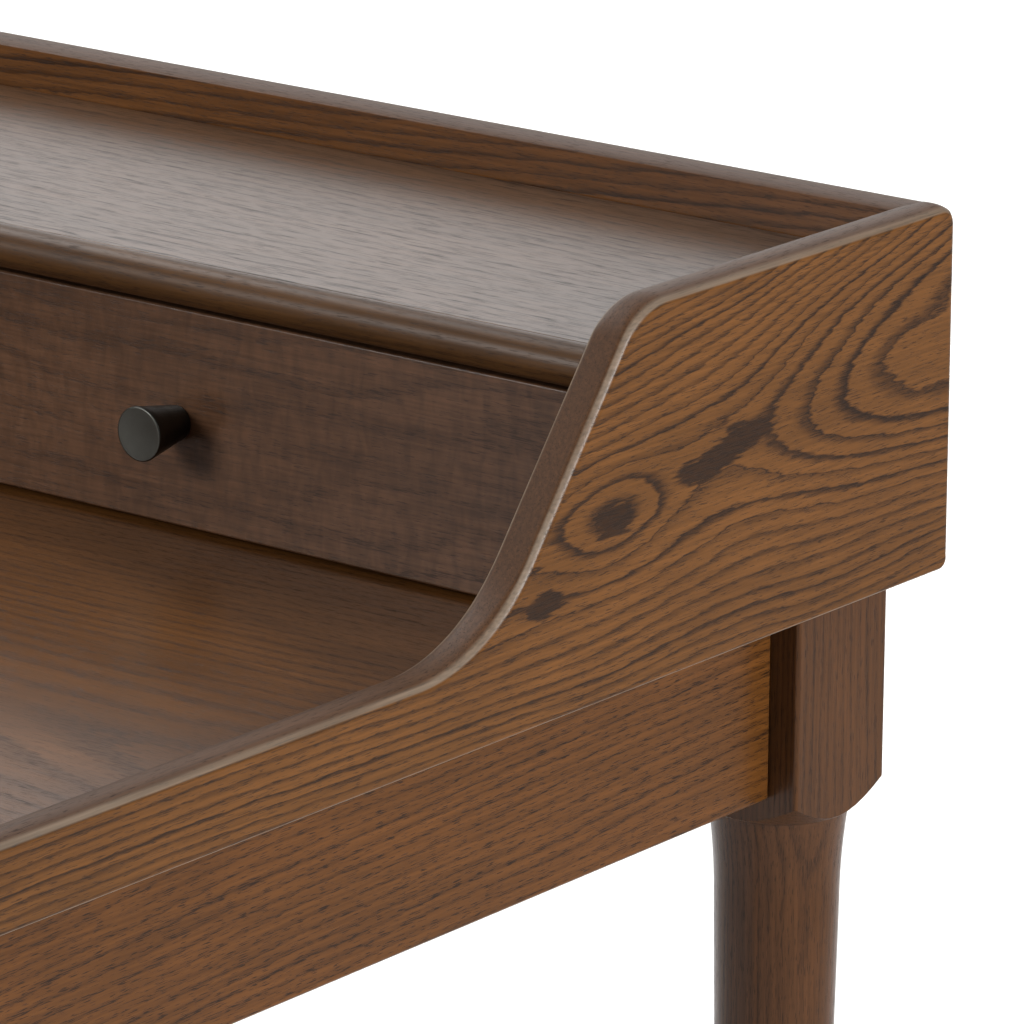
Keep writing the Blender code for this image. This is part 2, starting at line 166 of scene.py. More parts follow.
def makeStudio():
    makeWorld()
    scene.view_settings.view_transform = "Standard"
    for name, (position, aim, width, height, watts, spread) in studio["lamps"].items():
        data = bpy.data.lights.new(name, "AREA")
        data.shape = "RECTANGLE"
        data.size = width
        data.size_y = height
        data.energy = watts
        data.spread = radians(spread)
        lamp = bpy.data.objects.new(name, data)
        scene.collection.objects.link(lamp)
        lamp.location = position
        lamp.rotation_euler = (Vector(aim) - Vector(position)).to_track_quat("-Z", "Y").to_euler()
    mesh = bpy.data.meshes.new("floor")
    reach = studio["floorSize"] / 2
    mesh.from_pydata([(-reach, -reach, 0), (reach, -reach, 0), (reach, reach, 0), (-reach, reach, 0)],
                     [], [(0, 1, 2, 3)])
    floor = bpy.data.objects.new("floor", mesh)
    scene.collection.objects.link(floor)
    # pressed paper: matt, with a faint tooth
    paper, tree, shader = startMaterial("matt_white_backdrop_paper", studio["floor"], 0.9)
    place = addNode(tree, "ShaderNodeTexCoord")
    tooth = addNode(tree, "ShaderNodeTexNoise", {"Vector": place.outputs["Object"],
                                                 "Scale": studio["toothScale"]})
    bump = addNode(tree, "ShaderNodeBump", {"Strength": 0.05, "Distance": studio["toothDepth"],
                                            "Height": tooth})
    tree.links.new(bump.outputs[0], shader.inputs["Normal"])
    mesh.materials.append(paper)


makeCamera()
makeStudio()
print("camera and studio ready")


# Red oak, sawn and sanded, stained dark brown, then sprayed with satin lacquer. Growth rings show as bands
# of open pores that hold the stain. Grain names the object axes along, across and through each board.
oak = {
    "light": "#85552c",         # late wood under the stain
    "warm": "#6c4322",
    "dark": "#3f2716",          # bands of early wood
    "pore": "#27170d",
    "stainDepth": 0.55,         # share of the light that the stain lets through
    "ringWidth": 0.0042,
    "pith": (0.0, -0.040),      # centre of the rings, across and through, from the grain origin
    "lean": 0.0,                # drift of the ring centre across the board, per metre along it
    "leanStart": -2.0,
    "taper": 0.12,
    "taperStart": -2.0,
    "softness": 0.04,           # how gently lean and taper begin
    "bend": 0.010,              # slow wander of the rings
    "bendLength": 0.35,
    "ragged": 0.55,             # rings' fine unevenness, in rings
    "raggedCell": (1 / 60, 1 / 420),    # metres along and across the grain, as in the other cells
    "band": 0.75,               # strength of the ring bands
    "bandFade": 0.48,           # share of a ring's width in which its band fades
    "bandStart": 0.88,          # share at which the next band starts
    "faintBand": 0.40,          # weakest band, beside the strongest
    "pores": 0.55,
    "poreLength": 0.0065,
    "poreWidth": 0.00042,
    "poreShare": 0.60,
    "poreSoftness": 0.08,
    "poreCrowding": 0.13,       # how much thicker pores stand in a band
    "ripple": 0.0,              # ray fleck across the grain
    "fleckCell": (1 / 170, 1 / 60),
    "fleckRange": (0.35, 0.65),
    "patch": 0.55,
    "patchCell": (1 / 7, 1 / 26),
    "patchRange": (0.36, 0.66),
    "fibreContrast": 0.22,
    "fibreCell": (1 / 22, 1 / 700),
    "roughness": 0.28,
    "shine": 0.3,               # specular level of the lacquer
    "relief": 0.22,
    "reliefDepth": 0.00012,
    "edgeQuiet": 0.0,           # how far edges and ends lose the ring pattern, as their stain is more even
    "edgeTurn": (0.75, 0.98),   # cosine of the turn from the face: all edge, all face
    "edge": "#593a22",
    "edgeDull": 0.24,           # how much rougher edges and pores are than the face
    "poreDull": 0.16,
    "arrisWearAndHighlight": 0.0,           # rounded arrises get a pale band: partly stain thinned by handling, partly a painted highlight
    "wearAndHighlightStart": (0.30, 0.60),  # the same cosines, where the pale band of wear and painted highlight comes in from the edge
    "wearAndHighlightEnd": (0.80, 0.96),    # and goes out towards the face
    # pale colour of the worn stain, also painted on the arrises as a highlight
    "wornAndHighlight": "#e6d3bb",
    "knots": (),                # along, across, length, width, rings
    "smudges": (),              # along, across, length, width, strength: dark figure in the wood
}


def ovalBulge(tree, board, along, side, length, width):
    # a soft oval hill round one place on the board's face, one high
    offset = addNode(tree, "ShaderNodeVectorMath", {0: board, 1: (along, side, 0.0)}, operation="SUBTRACT")
    oval = addNode(tree, "ShaderNodeVectorMath", {0: offset, 1: (1 / length, 1 / width, 0.0)},
                   operation="MULTIPLY")
    near = addNode(tree, "ShaderNodeVectorMath", {0: oval, 1: oval}, operation="DOT_PRODUCT")
    fall = addNode(tree, "ShaderNodeMath", {0: near.outputs["Value"], 1: -1.0}, operation="MULTIPLY")
    return addNode(tree, "ShaderNodeMath", {0: fall}, operation="EXPONENT")


def makeOak(name, grain, changes):
    look = {**oak, **changes}
    material, tree, shader = startMaterial(name, look["light"], look["roughness"],
                                           Specular_IOR_Level=look["shine"])
    place = addNode(tree, "ShaderNodeTexCoord")
    split = addNode(tree, "ShaderNodeSeparateXYZ", {0: place.outputs["Object"]})
    axes = [split.outputs["XYZ".index(letter)] for letter in grain]
    board = addNode(tree, "ShaderNodeCombineXYZ", {0: axes[0], 1: axes[1], 2: axes[2]})

    # noises drawn out along the grain: length, width, detail and distortion
    cells = {
        "bend": (look["bendLength"], look["bendLength"] / 4, 2.0, 0.0),
        "ragged": (*look["raggedCell"], 3.0, 0.0),
        "pores": (look["poreLength"], look["poreWidth"], 1.0, 0.0),
        "fibres": (*look["fibreCell"], 4.0, 0.0),
        "patches": (*look["patchCell"], 3.0, 0.0),
        "flecks": (*look["fleckCell"], 2.0, 0.6),
    }
    noises = {}
    for key, (length, width, detail, distortion) in cells.items():
        stretched = addNode(tree, "ShaderNodeVectorMath", {0: board, 1: (1 / length, 1 / width, 1 / width)},
                            operation="MULTIPLY")
        noises[key] = addNode(tree, "ShaderNodeTexNoise", {"Vector": stretched, "Scale": 1.0,
                                                           "Detail": detail, "Distortion": distortion})
    fibres, patches = noises["fibres"], noises["patches"]

    # slow wander of the trunk, then the distance from its centre
    centred = addNode(tree, "ShaderNodeVectorMath", {0: noises["bend"].outputs["Color"],
                                                     1: (0.5, 0.5, 0.5)}, operation="SUBTRACT")
    reach = 2 * look["bend"]
    bent = addNode(tree, "ShaderNodeVectorMath", {0: centred, 1: (0.0, reach, reach), 2: board},
                   operation="MULTIPLY_ADD")
    across, through = look["pith"]
    runs = []
    for start in (look["leanStart"], look["taperStart"]):
        run = addNode(tree, "ShaderNodeMath", {0: axes[0], 1: start}, operation="SUBTRACT")
        runs.append(addNode(tree, "ShaderNodeMath", {0: run, 1: 0.0, 2: look["softness"]},
                            operation="SMOOTH_MAX"))
    drift = addNode(tree, "ShaderNodeVectorMath", {0: (0.0, look["lean"], 0.0),
                                                   "Scale": runs[0].outputs[0]}, operation="SCALE")
    fromPith = addNode(tree, "ShaderNodeVectorMath", {0: bent, 1: (0.0, across, through)},
                       operation="SUBTRACT")
    undrifted = addNode(tree, "ShaderNodeVectorMath", {0: fromPith, 1: drift}, operation="SUBTRACT")
    flat = addNode(tree, "ShaderNodeVectorMath", {0: undrifted, 1: (0.0, 1.0, 1.0)}, operation="MULTIPLY")
    distance = addNode(tree, "ShaderNodeVectorMath", {0: flat}, operation="LENGTH").outputs["Value"]

    # the trunk narrows along its length, which draws the pointed arches on a flat-sawn face
    narrowing = addNode(tree, "ShaderNodeMath", {0: runs[1], 1: -look["taper"], 2: distance},
                        operation="MULTIPLY_ADD")
    rings = addNode(tree, "ShaderNodeMath", {0: narrowing, 1: look["ringWidth"]}, operation="DIVIDE")

    # rings bulge round a knot, and a smudge is a dark cloud
    for along, side, length, width, count in look["knots"]:
        bulge = ovalBulge(tree, board, along, side, length, width)
        rings = addNode(tree, "ShaderNodeMath", {0: bulge, 1: count, 2: rings}, operation="MULTIPLY_ADD")
    shadow = None
    for along, side, length, width, strength in look["smudges"]:
        bulge = ovalBulge(tree, board, along, side, length, width)
        shadow = addNode(tree, "ShaderNodeMath", {0: bulge, 1: strength, 2: shadow or 0.0},
                         operation="MULTIPLY_ADD")

    # ragged edge of each ring, then its band: a sudden start and a slow fade
    ragged = addNode(tree, "ShaderNodeMath", {0: noises["ragged"], 1: look["ragged"], 2: rings},
                     operation="MULTIPLY_ADD")
    phase = addNode(tree, "ShaderNodeMath", {0: ragged}, operation="FRACT")
    fade = addNode(tree, "ShaderNodeMapRange", {0: phase, 1: 0.0, 2: look["bandFade"], 3: 1.0, 4: 0.0},
                   interpolation_type="SMOOTHSTEP")
    start = addNode(tree, "ShaderNodeMapRange", {0: phase, 1: look["bandStart"], 2: 1.0, 3: 0.0, 4: 1.0},
                    interpolation_type="SMOOTHSTEP")
    band = addNode(tree, "ShaderNodeMath", {0: fade, 1: start}, operation="MAXIMUM")
    ringIndex = addNode(tree, "ShaderNodeMath", {0: ragged}, operation="FLOOR")
    ringWeight = addNode(tree, "ShaderNodeTexWhiteNoise", {"W": ringIndex}, noise_dimensions="1D")
    weight = addNode(tree, "ShaderNodeMapRange", {0: ringWeight, 1: 0.0, 2: 1.0, 3: look["faintBand"],
                                                  4: 1.0})
    band = addNode(tree, "ShaderNodeMath", {0: band, 1: weight}, operation="MULTIPLY")
    if shadow:
        # the fine unevenness tears the smudge's outline
        torn = addNode(tree, "ShaderNodeMath", {0: noises["ragged"], 1: 1.1, 2: shadow},
                       operation="MULTIPLY_ADD")
        cloud = addNode(tree, "ShaderNodeMapRange", {0: torn, 1: 1.0, 2: 1.25, 3: 0.0, 4: 0.9},
                        interpolation_type="SMOOTHSTEP")
        band = addNode(tree, "ShaderNodeMath", {0: band, 1: cloud}, operation="MAXIMUM")

    # on edges and ends the stain is even
    facing = addNode(tree, "ShaderNodeSeparateXYZ", {0: place.outputs["Normal"]})
    squareOn = addNode(tree, "ShaderNodeMath", {0: facing.outputs["XYZ".index(grain[2])]},
                       operation="ABSOLUTE")
    first, last = look["edgeTurn"]
    edge = addNode(tree, "ShaderNodeMapRange", {0: squareOn, 1: first, 2: last, 3: look["edgeQuiet"],
                                                4: 0.0}, interpolation_type="SMOOTHSTEP")
    quiet = addNode(tree, "ShaderNodeMath", {0: 1.0, 1: edge}, operation="SUBTRACT")
    band = addNode(tree, "ShaderNodeMath", {0: band, 1: quiet}, operation="MULTIPLY")

    # open pores: short dark dashes along the grain, thickest in the bands
    crowd = addNode(tree, "ShaderNodeMath", {0: band, 1: look["poreCrowding"], 2: noises["pores"]},
                    operation="MULTIPLY_ADD")
    pores = addNode(tree, "ShaderNodeMapRange", {0: crowd, 1: look["poreShare"],
                                                 2: look["poreShare"] + look["poreSoftness"],
                                                 3: 0.0, 4: 1.0}, interpolation_type="SMOOTHSTEP")

    # colours over each other: stain patches, even edges, bands, then pores
    first, last = look["patchRange"]
    patchShare = addNode(tree, "ShaderNodeMapRange", {0: patches, 1: first, 2: last, 3: 0.0,
                                                      4: look["patch"]})
    wood = addNode(tree, "ShaderNodeMix", {0: patchShare, 6: linearColour(look["light"]),
                                           7: linearColour(look["warm"])}, data_type="RGBA")
    wood = addNode(tree, "ShaderNodeMix", {0: edge, 6: wood.outputs[2],
                                           7: linearColour(look["edge"])}, data_type="RGBA")
    bandShare = addNode(tree, "ShaderNodeMath", {0: band, 1: look["band"]}, operation="MULTIPLY")
    wood = addNode(tree, "ShaderNodeMix", {0: bandShare, 6: wood.outputs[2],
                                           7: linearColour(look["dark"])}, data_type="RGBA")
    poreDepth = addNode(tree, "ShaderNodeMath", {0: pores, 1: look["pores"]}, operation="MULTIPLY")
    wood = addNode(tree, "ShaderNodeMix", {0: poreDepth, 6: wood.outputs[2],
                                           7: linearColour(look["pore"])}, data_type="RGBA")

    # fibres and ray fleck change the depth of the stain
    contrast = look["fibreContrast"]
    tone = addNode(tree, "ShaderNodeMapRange", {0: fibres, 1: noiseLow, 2: noiseHigh,
                                                3: (1 - contrast) * look["stainDepth"],
                                                4: (1 + contrast) * look["stainDepth"]})
    first, last = look["fleckRange"]
    fleckTone = addNode(tree, "ShaderNodeMapRange", {0: noises["flecks"], 1: first, 2: last,
                                                     3: 1 - look["ripple"], 4: 1 + look["ripple"]})
    tone = addNode(tree, "ShaderNodeMath", {0: tone, 1: fleckTone}, operation="MULTIPLY")

    # a pale band is painted where a rounding is neither face nor edge: worn stain, and a painted highlight
    first, last = look["wearAndHighlightStart"]
    onto = addNode(tree, "ShaderNodeMapRange", {0: squareOn, 1: first, 2: last, 3: 0.0,
                                                4: look["arrisWearAndHighlight"]}, interpolation_type="SMOOTHSTEP")
    first, last = look["wearAndHighlightEnd"]
    off = addNode(tree, "ShaderNodeMapRange", {0: squareOn, 1: first, 2: last, 3: 1.0, 4: 0.0},
                  interpolation_type="SMOOTHSTEP")
    wearAndHighlight = addNode(tree, "ShaderNodeMath", {0: onto, 1: off}, operation="MULTIPLY")
    wearAndHighlightNoise = addNode(tree, "ShaderNodeMapRange", {0: patches, 1: noiseLow, 2: noiseHigh, 3: 0.6,
                                                     4: 1.0})
    wearAndHighlight = addNode(tree, "ShaderNodeMath", {0: wearAndHighlight, 1: wearAndHighlightNoise}, operation="MULTIPLY")
    wood = addNode(tree, "ShaderNodeMix", {0: wearAndHighlight, 6: wood.outputs[2],
                                           7: linearColour(look["wornAndHighlight"])}, data_type="RGBA")
    wood = addNode(tree, "ShaderNodeVectorMath", {0: wood.outputs[2], "Scale": tone}, operation="SCALE")
    tree.links.new(wood.outputs[0], shader.inputs["Base Color"])

    # lacquer is thinner over the pores and edges: they are duller, and the pores slightly sunk
    dull = addNode(tree, "ShaderNodeMath", {0: edge, 1: look["edgeDull"], 2: look["roughness"]},
                   operation="MULTIPLY_ADD")
    gloss = addNode(tree, "ShaderNodeMath", {0: pores, 1: look["poreDull"], 2: dull},
                    operation="MULTIPLY_ADD")
    tree.links.new(gloss.outputs[0], shader.inputs["Roughness"])
    sunk = addNode(tree, "ShaderNodeMath", {0: pores, 1: -1.0}, operation="MULTIPLY")
    height = addNode(tree, "ShaderNodeMath", {0: fibres, 1: 0.5, 2: sunk}, operation="MULTIPLY_ADD")
    bump = addNode(tree, "ShaderNodeBump", {"Strength": look["relief"], "Distance": look["reliefDepth"],
                                            "Height": height})
    tree.links.new(bump.outputs[0], shader.inputs["Normal"])
    return material


# ring centres, in metres from the grain origin, which is the desk's
panelRings = {
    "pith": (0.8150, 0.6405), "ringWidth": 0.0034, "bend": 0.0045, "bendLength": 0.22,
    "lean": 0.137, "leanStart": 0.10, "taper": 0.130, "taperStart": 0.200,
    # strength of the arrises' pale band: worn stain and painted highlight
    "band": 1.0, "edgeQuiet": 0.85, "arrisWearAndHighlight": 0.34, "pores": 0.6, "shine": 0.22,
    "light": "#875729", "warm": "#714820", "dark": "#331d0d", "pore": "#241409",
}
oakMaterials = {
    # flat sawn: arches, with rings that swerve round a knot
    "panelRight": makeOak("stained_oak_flat_sawn_with_knot", "YZX",
                          {**panelRings,
                           "knots": ((0.1135, 0.8173, 0.034, 0.022, -1.9),
                                     (0.360, 0.848, 0.040, 0.030, 1.7),
                                     (0.220, 0.738, 0.130, 0.045, -2.6)),
                           "smudges": ((0.1135, 0.8173, 0.018, 0.010, 1.0),
                                       (0.174, 0.825, 0.024, 0.0075, 1.0),
                                       (0.206, 0.834, 0.022, 0.0075, 1.0),
                                       (0.069, 0.7915, 0.018, 0.008, 0.95))}),
    "panelLeft": makeOak("stained_oak_flat_sawn", "YZX",
                         {**panelRings, "pith": (0.800, -0.640), "lean": -0.05,
                          "knots": ((-0.02, 0.752, 0.030, 0.010, -1.5),)}),
    # rift sawn: straight, even lines of long pores
    "shelf": makeOak("stained_oak_rift_sawn_shelf", "XYZ",
                     {"pith": (0.9, 0.3), "ringWidth": 0.0060, "bend": 0.012, "band": 0.35,
                      "taper": 0.02, "poreShare": 0.60, "poreLength": 0.013, "pores": 0.9,
                      "light": "#715138", "warm": "#5e432d"}),
    # plain sawn: wide, quiet arches
    "top": makeOak("stained_oak_plain_sawn_top", "XYZ",
                   {"pith": (-0.10, 0.60), "ringWidth": 0.0050, "bend": 0.014, "bendLength": 0.5,
                    "band": 0.50, "taper": 0.05, "light": "#7c4f25", "warm": "#5f3b1a"}),
    "rail": makeOak("stained_oak_flat_sawn_rail", "XZY",
                    {"pith": (0.84, 0.30), "ringWidth": 0.0055, "bend": 0.012, "bendLength": 0.5,
                     "band": 0.95, "taper": 0.05, "edgeQuiet": 0.85, "light": "#7f522c",
                     "warm": "#664020", "shine": 0.22}),
    # shaped solid wood: close grain, a little duller
    "strip": makeOak("stained_oak_edge_strip", "XZY",
                     {"pith": (0.70, 0.40), "ringWidth": 0.0060, "bend": 0.010, "band": 0.45,
                      "taper": 0.02, "light": "#644426", "warm": "#4c321b", "shine": 0.2,
                      "roughness": 0.36}),
    "apronSide": makeOak("stained_oak_side_apron", "YZX",
                         {"pith": (0.50, 0.50), "ringWidth": 0.0042, "bend": 0.012, "band": 0.55,
                          "taper": 0.03, "pores": 0.85, "poreLength": 0.007, "poreShare": 0.60,
                          "light": "#7f4f24", "warm": "#67401c", "shine": 0.2}),
    "apronFront": makeOak("stained_oak_front_apron", "XZY",
                          {"pith": (0.50, 0.50), "ringWidth": 0.0060, "bend": 0.016, "band": 0.42,
                           "taper": 0.03, "pores": 0.75, "poreLength": 0.009, "poreShare": 0.61}),
    "leg": makeOak("stained_oak_leg", "ZXY",
                   {"pith": (0.20, 0.55), "ringWidth": 0.0026, "bend": 0.006, "band": 0.45,
                    "taper": 0.01, "light": "#6c4527", "warm": "#58371d", "shine": 0.22}),
    # quarter sawn: straight grain with ray fleck across it
    "drawerFront": makeOak("stained_oak_quarter_sawn_drawer_front", "XZY",
                           {"pith": (0.55, 0.90), "ringWidth": 0.0045, "bend": 0.020, "band": 0.35,
                            "taper": 0.02, "ripple": 0.15, "light": "#71503a", "warm": "#5a3e2b",
                            "poreShare": 0.62}),
}

drawerWood = {
    "stainDepth": 1.0,
    "light": "#c9a878",
    "warm": "#b08a5a",
    "dark": "#a07a4e",
    "pore": "#8a663e",
}


def makePaleWood(name, grain, changes, roughness):
    # clear-lacquered poplar and beech: even, close grain with faint rings
    return makeOak(name, grain, {**drawerWood, "band": 0.35, "pores": 0.25, "poreLength": 0.004,
                                 "poreWidth": 0.0003, "pith": (0.3, 0.4), "roughness": roughness,
                                 **changes})


drawerSideWood = makePaleWood("clear_lacquered_poplar_side", "YZX", {}, 0.45)
drawerBackWood = makePaleWood("clear_lacquered_poplar_back", "XZY", {}, 0.45)
drawerBottomWood = makePaleWood("clear_lacquered_birch_panel", "XYZ", {"ringWidth": 0.009}, 0.45)
blockWood = makePaleWood("planed_beech_block", "ZXY", {"light": "#b48a5e", "warm": "#a1774c"}, 0.6)


metal = {
    "cloudScale": 180.0,        # uneven finish, per metre
    "darkest": 0.75,            # its darkest parts, beside the lightest
    "gritStrength": 0.25,
    "gritDepth": 0.00003,
}


def makeMetal(name, colour, roughness, gritWidth, variation):
    # turned or drawn metal: fine grit, with small changes in gloss
    material, tree, shader = startMaterial(name, colour, roughness, Metallic=1.0)
    place = addNode(tree, "ShaderNodeTexCoord")
    grit = addNode(tree, "ShaderNodeTexNoise", {"Vector": place.outputs["Object"],
                                                "Scale": 1 / gritWidth, "Detail": 4.0})
    cloud = addNode(tree, "ShaderNodeTexNoise", {"Vector": place.outputs["Object"],
                                                 "Scale": metal["cloudScale"], "Detail": 3.0})
    low, high = roughness - variation, roughness + variation
    gloss = addNode(tree, "ShaderNodeMapRange", {0: cloud, 1: noiseLow, 2: noiseHigh, 3: low, 4: high})
    tree.links.new(gloss.outputs[0], shader.inputs["Roughness"])
    base = linearColour(colour)
    darker = tuple(c * metal["darkest"] for c in base[:3]) + (1,)
    tint = addNode(tree, "ShaderNodeMix", {0: cloud, 6: base, 7: darker}, data_type="RGBA")
    tree.links.new(tint.outputs[2], shader.inputs["Base Color"])
    bump = addNode(tree, "ShaderNodeBump", {"Strength": metal["gritStrength"],
                                            "Distance": metal["gritDepth"], "Height": grit})
    tree.links.new(bump.outputs[0], shader.inputs["Normal"])
    return material


# steel turned on a lathe and blackened: dark and satin. Zinc plate: pale, with an uneven gloss.
blackenedSteel = makeMetal("blackened_steel_turned", "#4e4e4a", 0.40, 0.00025, 0.05)
zincSteel = makeMetal("zinc_plated_steel", "#b9bcbf", 0.32, 0.00040, 0.08)

glides = {
    "colour": "#141414",
    "roughness": 0.5,
    "gritWidth": 0.0004,
    "gritStrength": 0.3,
    "gritDepth": 0.00005,
}


def makeNylon():
    # moulded nylon: black, with a fine spark texture from the mould
    material, tree, shader = startMaterial("moulded_black_nylon", glides["colour"], glides["roughness"])
    place = addNode(tree, "ShaderNodeTexCoord")
    grit = addNode(tree, "ShaderNodeTexNoise", {"Vector": place.outputs["Object"],
                                                "Scale": 1 / glides["gritWidth"], "Detail": 2.0})
    bump = addNode(tree, "ShaderNodeBump", {"Strength": glides["gritStrength"],
                                            "Distance": glides["gritDepth"], "Height": grit})
    tree.links.new(bump.outputs[0], shader.inputs["Normal"])
    return material


nylon = makeNylon()
print("materials ready")


def addPiece(name, mesh, material, body, slot, *replaced):
    mesh.materials.clear()
    mesh.materials.append(material)
    piece = bpy.data.objects.new(name, mesh)
    scene.collection.objects.link(piece)
    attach(piece, body)
    if replaced:
        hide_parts(*replaced)
    return piece


def finishMesh(name, points, faces, sharpAngle):
    # closes, turns outwards and shades a mesh, with its crisp edges kept
    bm = bmesh.new()
    vertices = [bm.verts.new(point) for point in points]
    for face in faces:
        bm.faces.new([vertices[i] for i in face])
    bmesh.ops.remove_doubles(bm, verts=bm.verts, dist=0.000001)
    bmesh.ops.recalc_face_normals(bm, faces=bm.faces)
    for face in bm.faces:
        face.smooth = True
    for edge in bm.edges:
        edge.smooth = edge.calc_face_angle(0) < sharpAngle
    mesh = bpy.data.meshes.new(name)
    bm.to_mesh(mesh)
    bm.free()
    return mesh


def arcPoints(centre, radius, start, end, steps):
    turns = [start + (end - start) * i / steps for i in range(steps + 1)]
    return [(centre[0] + radius * cos(a), centre[1] + radius * sin(a)) for a in turns]


def cornerArc(before, corner, after, radius, steps):
    before, corner, after = Vector(before), Vector(corner), Vector(after)
    toBefore = (before - corner).normalized()
    toAfter = (after - corner).normalized()
    halfTurn = toBefore.angle(toAfter) / 2
    centre = corner + (toBefore + toAfter).normalized() * radius / sin(halfTurn)
    first = corner + toBefore * radius / tan(halfTurn) - centre
    last = corner + toAfter * radius / tan(halfTurn) - centre
    start = atan2(first.y, first.x)
    sweep = (atan2(last.y, last.x) - start + pi) % (2 * pi) - pi
    return arcPoints(centre, radius, start, start + sweep, steps)


def ringFaces(rings, count):
    # faces between rings of points, with a cap at each end
    faces = []
    for ring in range(rings - 1):
        first, second = ring * count, (ring + 1) * count
        for i in range(count):
            j = (i + 1) % count
            faces.append((first + i, first + j, second + j, second + i))
    faces.append(tuple(range(count)))
    faces.append(tuple((rings - 1) * count + i for i in range(count)))
    return faces


def roundedSlab(name, outline, arrises, crowns, low, high, steps=7, support=0.0005):
    # a slab with a closed outline whose arrises are rounded on both faces: each point has its own
    # depth down the face and its own reach across the edge
    count = len(outline)
    inward = []
    for i in range(count):
        before, here, after = (Vector(outline[(i + k) % count]) for k in (-1, 0, 1))
        along = (here - before).normalized() + (after - here).normalized()
        along.normalize()
        inward.append(Vector((-along.y, along.x)))
    rows = []
    quarter = [pi / 2 * k / steps for k in range(steps + 1)]
    section = [(-1, None)] + [(-1, a) for a in reversed(quarter)] + [(1, a) for a in quarter] + [(1, None)]
    for side, angle in section:
        face = high if side > 0 else low
        row = []
        for i in range(count):
            radius = arrises[i]
            inset = radius + support if angle is None else radius * (1 - cos(angle))
            drop = 0 if angle is None else crowns[i] * (1 - sin(angle))
            y, z = Vector(outline[i]) + inward[i] * inset
            row.append((face - side * drop, y, z))
        rows.append(row)
    points = [point for row in rows for point in row]
    return finishMesh(name, points, ringFaces(len(rows), count), radians(50))


sidePanel = {
    "lipHeight": 0.016,         # above the writing surface
    "crest": 0.0025,            # slope line meets the top line this far in front of the drawer faces
    "slope": radians(52.6),
    "crestRadius": 0.037,
    "footRadius": 0.090,
    "topCorner": 0.010,
    "bottomCorner": 0.006,
    "topArris": 0.0042,
    "topCrown": 0.0088,         # the level edges are crowned: rounding's reach across the thickness
    "crownStart": 0.70,         # how level an edge is as the crown starts
    "crownRun": 0.28,           # and how much more until it is full
    "bottomArris": 0.0012,
}


def sidePanelOutline(low, high):
    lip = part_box("desk_top")[1].z + sidePanel["lipHeight"]
    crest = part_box("drawer_right_front")[0].y - sidePanel["crest"]
    foot = crest - (high.z - lip) / tan(sidePanel["slope"])
    cornerPoints = [
        ((low.y, low.z), sidePanel["bottomCorner"], 8),
        ((high.y, low.z), sidePanel["bottomCorner"], 8),
        ((high.y, high.z), sidePanel["topCorner"], 14),
        ((crest, high.z), sidePanel["crestRadius"], 20),
        ((foot, lip), sidePanel["footRadius"], 30),
        ((low.y, lip), sidePanel["topCorner"], 14),
    ]
    outline = []
    for i, (corner, radius, steps) in enumerate(cornerPoints):
        before, after = cornerPoints[i - 1][0], cornerPoints[(i + 1) % len(cornerPoints)][0]
        outline += cornerArc(before, corner, after, radius, steps)
    return outline


def makeSidePanels():
    for side in sides:
        low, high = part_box("side_panel_" + side)
        outline = sidePanelOutline(low, high)
        big, small = sidePanel["topArris"], sidePanel["bottomArris"]
        rise = sidePanel["bottomCorner"] + big
        arrises = [small + (big - small) * min(1, max(0, (z - low.z) / rise)) for y, z in outline]
        crownStart, crownRun = sidePanel["crownStart"], sidePanel["crownRun"]
        crowns = []
        for i, arris in enumerate(arrises):
            before, after = Vector(outline[i - 1]), Vector(outline[(i + 1) % len(outline)])
            level = abs((after - before).normalized().x)
            share = min(1, max(0, (level - crownStart) / crownRun)) * (arris - small) / (big - small)
            crowns.append(arris + (sidePanel["topCrown"] - big) * share)
        mesh = roundedSlab("side_panel_" + side, outline, arrises, crowns, low.x, high.x)
        material = oakMaterials["panelRight" if side == "right" else "panelLeft"]
        addPiece("panel_" + side, mesh, material, "desk", "stained_oak", "side_panel_" + side)


def stripMesh(name, outline, start, end, sharpAngle=radians(50)):
    # a long strip of one outline along X
    count = len(outline)
    points = [(x, y, z) for x in (start, end) for y, z in outline]
    faces = [(i, (i + 1) % count, count + (i + 1) % count, count + i) for i in range(count)]
    faces += [tuple(range(count)), tuple(range(count, 2 * count))]
    return finishMesh(name, points, faces, sharpAngle)


def makeEdgeStrips():
    for node in ("desk_top_front_edge", "shelf_front_edge"):
        low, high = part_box(node)
        # one arc, from the joint's upper edge round the nose to its lower edge
        depth, half = high.y - low.y, (high.z - low.z) / 2
        radius = (depth ** 2 + half ** 2) / (2 * depth)
        centre = (low.y + radius, (high.z + low.z) / 2)
        first = atan2(half, high.y - centre[0])
        outline = arcPoints(centre, radius, first, 2 * pi - first, 36)
        mesh = stripMesh(node, outline, low.x, high.x)
        addPiece(node + "_shaped", mesh, oakMaterials["strip"], "desk", "stained_oak", node)


backBoard = {
    "crownDepth": 0.0018,       # fall of the top edge to its front arris
    "crownReach": 0.013,
    "tongue": 0.0085,           # reach into the crowned edge of each side panel
    "sink": 0.0001,             # keeps the board's top just under the panels' crowned edges
    "cornerMore": 0.0006,       # keeps its rounded corner just inside theirs
    "lowArris": 0.0006,
}


